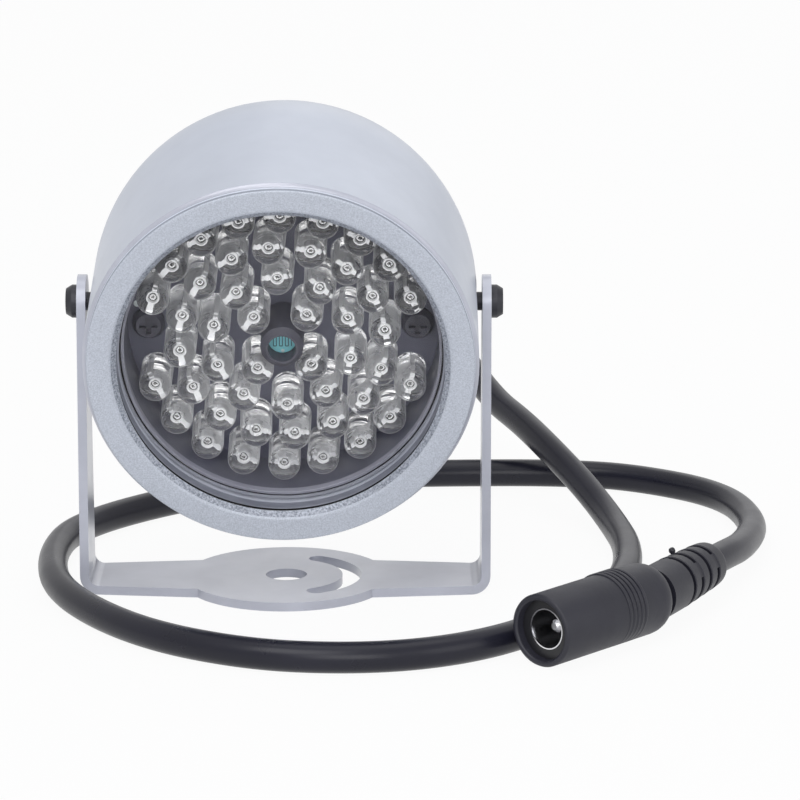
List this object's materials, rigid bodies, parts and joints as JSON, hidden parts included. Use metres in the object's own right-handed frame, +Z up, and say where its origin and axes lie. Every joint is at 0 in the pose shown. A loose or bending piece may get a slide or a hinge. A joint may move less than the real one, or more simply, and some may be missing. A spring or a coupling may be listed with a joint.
{
  "type": "infrared illuminator",
  "caption": "Round infrared lamp head with rings of clear diodes behind a window, tilting in a folded sheet bracket, with a black cord that ends in an in-line power socket.",
  "frame": {"origin": "centre of the fixing hole at the underside of the bracket's base", "axes": "+Z up from the base, -Y the way the lamp looks, +X along the tilt pivot towards the socket's side"},
  "size_m": [0.1182, 0.142, 0.0765],
  "materials": {
    "bracket_paint": "satin silver-grey paint",
    "housing_paint": "aluminium casting with satin silver-grey paint, very slightly textured",
    "ring_metal": "fine blasted silver",
    "window_glass": "clear, polished",
    "gasket_rubber": "matt black",
    "black_plastic": "satin black",
    "board_laminate": "dark solder mask",
    "diode_resin": "water-clear resin",
    "sensor_ceramic": "teal face with a comb-shaped track",
    "sleeve_plastic": "matt black",
    "black_screw": "black, low sheen",
    "resistor_body": "glossy black with silver ends",
    "transistor_body": "matt black",
    "red_insulation": "red",
    "black_insulation": "black",
    "grommet_rubber": "matt black",
    "cord_jacket": "semi-gloss black",
    "socket_moulding": "satin black",
    "socket_core": "smooth black",
    "contact_metal": "bright nickel plate"
  },
  "bodies": {
    "bracket": {"bracket": "bracket_paint", "power_cord": "cord_jacket", "socket_body": "socket_moulding", "socket_insert": "socket_core", "socket_contact_sleeve": "contact_metal", "socket_pin": "contact_metal"},
    "head": {"housing": "housing_paint", "bezel_ring": "ring_metal", "window": "window_glass", "window_gasket": "gasket_rubber", "spacer_ring": "black_plastic", "led_board": "board_laminate", "led_row_outer": "diode_resin", "led_row_second": "diode_resin", "led_row_third": "diode_resin", "led_row_inner": "diode_resin", "light_sensor": "sensor_ceramic", "sensor_sleeve": "sleeve_plastic", "pivot_screw_left": "black_screw", "pivot_screw_right": "black_screw", "board_screw_left": "black_screw", "board_screw_right": "black_screw", "board_resistors": "resistor_body", "switching_transistor": "transistor_body", "lead_wire_positive": "red_insulation", "lead_wire_negative": "black_insulation", "cable_grommet": "grommet_rubber"}
  },
  "joints": [
    {"name": "head_tilt", "type": "hinge", "parent": "bracket", "child": "head", "pos_m": [0, 0, 0.0457], "axis": [1, 0, 0], "range_deg": [-60, 75], "deforming": ["power_cord"]}
  ]
}
